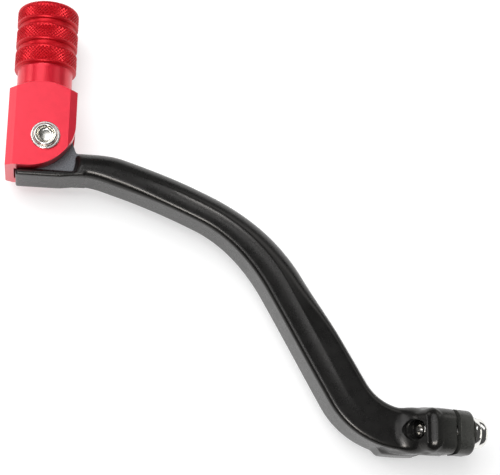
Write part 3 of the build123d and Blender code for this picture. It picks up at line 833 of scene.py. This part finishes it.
def make_bolt():
    """The pinch bolt: threaded shank with a cupped end, and a domed head with a hexagon socket."""
    end = -BOLT_LENGTH
    start, step = end + 0.25, 0.1
    count = int((BOLT_LENGTH - 1.6) / step)
    runout = start + step * count
    flange, head_radius, rim, top = 5.1, 4.85, 3.1, 5.0
    dome = top - rim
    rows = [(0, end + 2.6), (1.2, end + 1.6), (1.5, end + 0.3), (1.62, end), (2.35, end)]
    rows += [(BOLT_RADIUS, start + step * k) for k in range(count)]
    rows += [(BOLT_RADIUS - 0.05, runout + 0.3), (BOLT_RADIUS - 0.05, -HEAD_SEAT)]
    rows += [(flange - 0.15, -HEAD_SEAT), (flange, 0.0), (flange, 1.5), (flange - 0.1, 1.65)]
    rows += [(head_radius - 0.1, 1.7), (head_radius, 1.85)]
    rows += [(head_radius - dome + dome * cos(a), rim + dome * sin(a))
             for a in [radians(7.5 * k) for k in range(0, 13)]]
    rows += [(rows[-1][0] * 0.6, top), (0, top)]

    def thread_depth(row, turn):
        radius, height = row
        if radius != BOLT_RADIUS or not start <= height <= runout:
            return 0.0
        phase = height / THREAD_PITCH - turn
        tooth = 2 * abs(phase - round(phase))
        depth = THREAD_DEPTH * min(1, max(0, 1.15 - 1.3 * tooth))
        taper = (height - start) / 0.8
        return max(depth, (1 - taper) * 0.6) if taper < 1 else depth

    matrix = bolt_matrix(PAD_RIGHT)
    bolt = lathe("chromed_pinch_bolt", rows, matrix, depth_at=thread_depth)
    hexagon_half, socket_depth = 2.0, 2.4
    across = hexagon_half / cos(pi / 6)
    socket = [(across * cos(radians(60 * k)), across * sin(radians(60 * k))) for k in range(6)]
    combine(bolt, prism("socket", socket, top - socket_depth, top + 1, matrix), "DIFFERENCE")
    shade_smooth(bolt, 40)
    return bolt


# ---------------------------------------------------------------------------
# Materials
# ---------------------------------------------------------------------------
def new_material(name):
    material = bpy.data.materials.new(name)
    material.use_nodes = True
    tree = material.node_tree
    shader = tree.nodes["Principled BSDF"]
    return material, tree, shader


def noise(tree, scale, detail=4.0, roughness=0.6, stretch=None):
    """A noise texture in the object's own metres."""
    place = tree.nodes.new("ShaderNodeTexCoord")
    texture = tree.nodes.new("ShaderNodeTexNoise")
    texture.inputs["Scale"].default_value = scale
    texture.inputs["Detail"].default_value = detail
    texture.inputs["Roughness"].default_value = roughness
    source = place.outputs["Object"]
    if stretch:
        mapping = tree.nodes.new("ShaderNodeMapping")
        mapping.inputs["Scale"].default_value = stretch
        tree.links.new(source, mapping.inputs["Vector"])
        source = mapping.outputs["Vector"]
    tree.links.new(source, texture.inputs["Vector"])
    return texture.outputs["Fac"]


def remap(tree, source, low, high, to_low, to_high):
    step = tree.nodes.new("ShaderNodeMapRange")
    step.inputs["From Min"].default_value = low
    step.inputs["From Max"].default_value = high
    step.inputs["To Min"].default_value = to_low
    step.inputs["To Max"].default_value = to_high
    tree.links.new(source, step.inputs["Value"])
    return step.outputs["Result"]


def mix_colours(tree, factor, first, second):
    mix = tree.nodes.new("ShaderNodeMix")
    mix.data_type = "RGBA"
    tree.links.new(factor, mix.inputs["Factor"])
    mix.inputs["A"].default_value = (*first, 1)
    mix.inputs["B"].default_value = (*second, 1)
    return mix.outputs["Result"]


def bump(tree, shader, height, strength, distance):
    node = tree.nodes.new("ShaderNodeBump")
    node.inputs["Strength"].default_value = strength
    node.inputs["Distance"].default_value = distance
    tree.links.new(height, node.inputs["Height"])
    tree.links.new(node.outputs["Normal"], shader.inputs["Normal"])


def coordinates(tree):
    """The object's own place, split into its three directions."""
    place = tree.nodes.new("ShaderNodeTexCoord")
    split = tree.nodes.new("ShaderNodeSeparateXYZ")
    tree.links.new(place.outputs["Object"], split.inputs["Vector"])
    return [split.outputs[axis] for axis in ("X", "Y", "Z")]


def product(tree, first, second):
    step = tree.nodes.new("ShaderNodeMath")
    step.operation = "MULTIPLY"
    tree.links.new(first, step.inputs[0])
    tree.links.new(second, step.inputs[1])
    return step.outputs["Value"]


def blend(tree, factor, first, second):
    """Mixes two colours that are themselves made by nodes."""
    mix = tree.nodes.new("ShaderNodeMix")
    mix.data_type = "RGBA"
    tree.links.new(factor, mix.inputs["Factor"])
    tree.links.new(first, mix.inputs["A"])
    tree.links.new(second, mix.inputs["B"])
    return mix.outputs["Result"]


def black_anodised():
    """Black anodised forging: satin, painted a lighter grey on the jaws' tops as sheen, and on the lug a
    coarse milled speckle with a painted lighter sheen.
    """
    material, tree, shader = new_material("black anodised forging")
    cloud = remap(tree, noise(tree, 260.0, 3.0), 0.3, 0.7, 0, 1)
    grain = noise(tree, 5200.0, 2.0, 0.5)
    coarse = remap(tree, noise(tree, 2600.0, 3.0, 0.6), 0.35, 0.65, 0, 1)
    x, y, z = coordinates(tree)
    jaws_left, jaws_right, jaws_foot, jaws_top = -0.0045, 0.011, 0.0105, 0.0130
    jaw_sheen_mask = remap(tree, x, jaws_left, jaws_right, 0, 1)
    jaw_sheen_mask = product(tree, jaw_sheen_mask, remap(tree, z, jaws_foot, jaws_top, 0, 1))
    lug_x, lug_y, lug_z = (float(value) * MM for value in PIVOT + np.array((11.0, -9.9, LUG_HALF)))
    lug = remap(tree, x, lug_x - 0.0003, lug_x, 1, 0)
    lug = product(tree, lug, remap(tree, y, lug_y, lug_y + 0.0003, 0, 1))
    lug = product(tree, lug, remap(tree, z, lug_z + 0.0001, lug_z + 0.0003, 1, 0))
    satin = mix_colours(tree, cloud, (0.0044, 0.0044, 0.0043), (0.0060, 0.0059, 0.0057))
    # The jaws' tops get a lighter grey: a painted sheen standing in for the light they catch.
    painted_jaw_sheen = mix_colours(tree, cloud, (0.056, 0.057, 0.052), (0.066, 0.067, 0.061))
    # The lug's faces: a coarse milled speckle, with a lighter bluish grey that is a painted sheen standing
    # in for the key light's reflection.
    milled_speckle_and_painted_sheen = mix_colours(tree, coarse, (0.055, 0.060, 0.068), (0.125, 0.132, 0.145))
    colour = blend(tree, lug, blend(tree, jaw_sheen_mask, satin, painted_jaw_sheen), milled_speckle_and_painted_sheen)
    tree.links.new(colour, shader.inputs["Base Color"])
    satin_rough = remap(tree, cloud, 0, 1, 0.25, 0.31)
    rough = tree.nodes.new("ShaderNodeMix")
    tree.links.new(lug, rough.inputs["Factor"])
    tree.links.new(satin_rough, rough.inputs["A"])
    rough.inputs["B"].default_value = 0.55
    tree.links.new(rough.outputs["Result"], shader.inputs["Roughness"])
    shader.inputs["IOR"].default_value = 1.45
    shader.inputs["Specular Tint"].default_value = (1.0, 0.96, 0.92, 1.0)
    bump(tree, shader, grain, 0.08, 0.00003)
    return material


def red_anodised():
    """Bright red anodised: satin where it is milled, smoother where it is turned, and painted a darker red
    there as shade.
    """
    material, tree, shader = new_material("red anodised aluminium")
    cloud = remap(tree, noise(tree, 320.0, 3.0), 0.3, 0.7, 0, 1)
    grain = noise(tree, 6500.0, 2.0, 0.55)
    neck_from, knurl_from = ((PIVOT[1] + start) * MM for start in (NECK_START, KNURL_START))
    _, y, _ = coordinates(tree)
    on_neck = remap(tree, y, neck_from - 0.0002, neck_from + 0.0002, 0, 0.35)
    on_knurl = remap(tree, y, knurl_from - 0.0002, knurl_from + 0.0002, 0, 0.65)
    total = tree.nodes.new("ShaderNodeMath")
    total.operation = "ADD"
    tree.links.new(on_neck, total.inputs[0])
    tree.links.new(on_knurl, total.inputs[1])
    turned = total.outputs["Value"]
    milled_red = mix_colours(tree, cloud, (0.74, 0.010, 0.034), (0.80, 0.013, 0.040))
    # Darker red on the neck and knurl: painted shade standing in for the knurl's facets that face away from
    # the light.
    shaded_turned_red = mix_colours(tree, cloud, (0.52, 0.003, 0.010), (0.57, 0.004, 0.012))
    tree.links.new(blend(tree, turned, milled_red, shaded_turned_red), shader.inputs["Base Color"])
    shader.inputs["Metallic"].default_value = 0.6
    shader.inputs["Coat Roughness"].default_value = 0.28
    tree.links.new(remap(tree, turned, 0, 1, 0.8, 0.05), shader.inputs["Coat Weight"])
    tree.links.new(remap(tree, cloud, 0, 1, 0.36, 0.42), shader.inputs["Roughness"])
    bump(tree, shader, grain, 0.12, 0.00004)
    return material


def plated(name, colour, rough, grain_scale=1500.0):
    """Plated or turned steel with faint marks."""
    material, tree, shader = new_material(name)
    marks = noise(tree, grain_scale, 3.0)
    dull = tuple(channel * 0.90 for channel in colour)
    shade = mix_colours(tree, remap(tree, marks, 0.35, 0.65, 0, 1), colour, dull)
    tree.links.new(shade, shader.inputs["Base Color"])
    shader.inputs["Metallic"].default_value = 1.0
    tree.links.new(remap(tree, marks, 0.3, 0.7, rough * 0.8, rough * 1.3), shader.inputs["Roughness"])
    bump(tree, shader, marks, 0.05, 0.000006)
    return material


def chromed_bolt():
    """Bright chrome on the head and a dull thread, painted dark grey as shade."""
    material, tree, shader = new_material("chromed bolt")
    marks = noise(tree, 900.0, 3.0)
    share = remap(tree, marks, 0.35, 0.65, 0, 1)
    chrome = mix_colours(tree, share, (0.88, 0.87, 0.84), (0.80, 0.79, 0.76))
    # The thread is painted dark: painted shade for the inside of the bolt's hole and the slit.
    painted_shade_thread = mix_colours(tree, share, (0.26, 0.25, 0.24), (0.32, 0.31, 0.29))
    x, _, _ = coordinates(tree)
    head_start, edge = 0.0080, 0.0002
    head = remap(tree, x, head_start, head_start + edge, 0, 1)
    tree.links.new(blend(tree, head, painted_shade_thread, chrome), shader.inputs["Base Color"])
    tree.links.new(remap(tree, head, 0, 1, 0.20, 0.10), shader.inputs["Roughness"])
    shader.inputs["Metallic"].default_value = 1.0
    bump(tree, shader, marks, 0.05, 0.000006)
    return material


def studio_floor():
    material, tree, shader = new_material("white floor")
    colour = mix_colours(tree, noise(tree, 9.0, 2.0), (0.43, 0.43, 0.43), (0.45, 0.45, 0.45))
    tree.links.new(colour, shader.inputs["Base Color"])
    shader.inputs["Roughness"].default_value = 0.9
    shader.inputs["Specular IOR Level"].default_value = 0.2
    shader.inputs["Emission Color"].default_value = (1, 1, 1, 1)
    shader.inputs["Emission Strength"].default_value = 0.60
    return material


# ---------------------------------------------------------------------------
# Building
# ---------------------------------------------------------------------------
def finish_piece(piece, node, body, material):
    """Gives a piece its material and body, and hides the CAD node that it replaces."""
    piece.data.materials.clear()
    piece.data.materials.append(material)
    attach(piece, body)
    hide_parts(node)


rivet_metal = plated("nickel plated rivet", (0.80, 0.77, 0.70), 0.16)
washer_metal = plated("nickel plated washer", (0.76, 0.74, 0.69), 0.22)
sleeve_metal = plated("turned steel", (0.5, 0.5, 0.5), 0.3)
spring_metal = plated("oiled spring wire", (0.3, 0.3, 0.3), 0.3)
finish_piece(make_lever_arm(), "lever_arm", "lever", black_anodised())
finish_piece(make_folding_tip(), "folding_tip", "tip", red_anodised())
finish_piece(make_rivet(), "pivot_rivet", "tip", rivet_metal)
for end, side in (("front", 1), ("rear", -1)):
    washer = make_washer(f"{end}_washer", side)
    finish_piece(washer, f"{end}_rivet_washer", "tip", washer_metal)
finish_piece(make_sleeve(), "pivot_sleeve", "tip", sleeve_metal)
finish_piece(make_spring(), "return_spring", "lever", spring_metal)
finish_piece(make_bolt(), "pinch_bolt", "lever", chromed_bolt())


# ---------------------------------------------------------------------------
# Studio
# ---------------------------------------------------------------------------
def make_floor():
    size = 1500.0
    level = LOW[2] - 0.15
    corners = [(-size, -size, level), (size, -size, level), (size, size, level), (-size, size, level)]
    floor = new_object("floor", corners, [(0, 1, 2, 3)], smooth=False)
    floor.data.materials.append(studio_floor())


def panel(name, place, aim, size, radiance, colour, seen_by):
    """A softbox given by its brightness, which lights either the gloss or the body colour."""
    data = bpy.data.lights.new(name, "AREA")
    data.shape = "RECTANGLE"
    data.size, data.size_y = size
    data.energy = radiance * pi * size[0] * size[1]
    data.color = colour
    lamp = bpy.data.objects.new(name, data)
    bpy.context.scene.collection.objects.link(lamp)
    lamp.location = place
    lamp.rotation_euler = (Vector(aim) - Vector(place)).to_track_quat("-Z", "Y").to_euler()
    lamp.visible_diffuse = seen_by == "diffuse"
    lamp.visible_glossy = seen_by == "glossy"


def overhead(name, place, size, radiance, colour=(0.97, 0.99, 1.03), seen_by="glossy"):
    """A softbox that hangs about a metre up and faces straight down."""
    panel(name, place, (place[0], place[1], 0.0), size, radiance, colour, seen_by)


def make_world():
    """Faint even light from all round."""
    world = bpy.data.worlds.new("studio")
    world.use_nodes = True
    background = world.node_tree.nodes["Background"]
    background.inputs["Color"].default_value = (1, 1, 1, 1)
    background.inputs["Strength"].default_value = 0.08
    bpy.context.scene.world = world


def make_camera():
    """A long lens high above the near side, which looks down at the lever."""
    eye = Vector(tuple((PIVOT + np.array(CAMERA_PLACE)) * MM))
    yaw, pitch, roll = CAMERA_YAW, CAMERA_PITCH, CAMERA_ROLL
    ahead = Vector((sin(yaw) * cos(pitch), sin(pitch), -cos(yaw) * cos(pitch)))
    right = ahead.cross(Vector((0, 1, 0))).normalized()
    up = right.cross(ahead)
    right, up = cos(roll) * right + sin(roll) * up, cos(roll) * up - sin(roll) * right
    data = bpy.data.cameras.new("camera")
    data.sensor_width = 36.0
    data.lens = CAMERA_LENS
    data.clip_start = 0.01
    camera = bpy.data.objects.new("camera", data)
    bpy.context.scene.collection.objects.link(camera)
    camera.matrix_world = Matrix((right, up, -ahead)).transposed().to_4x4()
    camera.matrix_world.translation = eye
    bpy.context.scene.camera = camera


make_floor()
middle = Vector(tuple((LOW + HIGH) / 2 * MM))
overhead("front_box", (-0.30, -0.46, 1.0), (0.22, 0.40), 22.0, (1.0, 0.98, 0.95))
overhead("front_wide", (-0.28, -0.20, 1.01), (0.24, 0.24), 9.0)
overhead("middle_box", (-0.04, 0.13, 1.01), (0.18, 0.14), 4.5)
overhead("left_box", (-0.50, 0.20, 1.0), (0.34, 0.36), 3.0, (0.96, 0.99, 1.04))
overhead("top_back", (-0.52, 0.62, 1.0), (0.80, 0.44), 2.2)
panel("back_right", (0.75, 1.0, 0.8), middle, (1.0, 0.6), 1.2, (1, 1, 1), "glossy")
panel("right_low", (1.3, -0.05, 0.19), (0.0, -0.02, 0.1), (0.9, 0.34), 1.3, (1.0, 0.99, 0.94), "glossy")
panel("left_back", (-1.05, 0.46, 0.40), (-0.13, 0.09, 0.0), (0.5, 0.3), 3.0, (1, 1, 1), "glossy")
overhead("table_light", (-0.46, 0.34, 1.0), (0.95, 0.90), 8.0, (1, 1, 1), "diffuse")
make_world()
bpy.context.scene.view_settings.view_transform = "Standard"
make_camera()
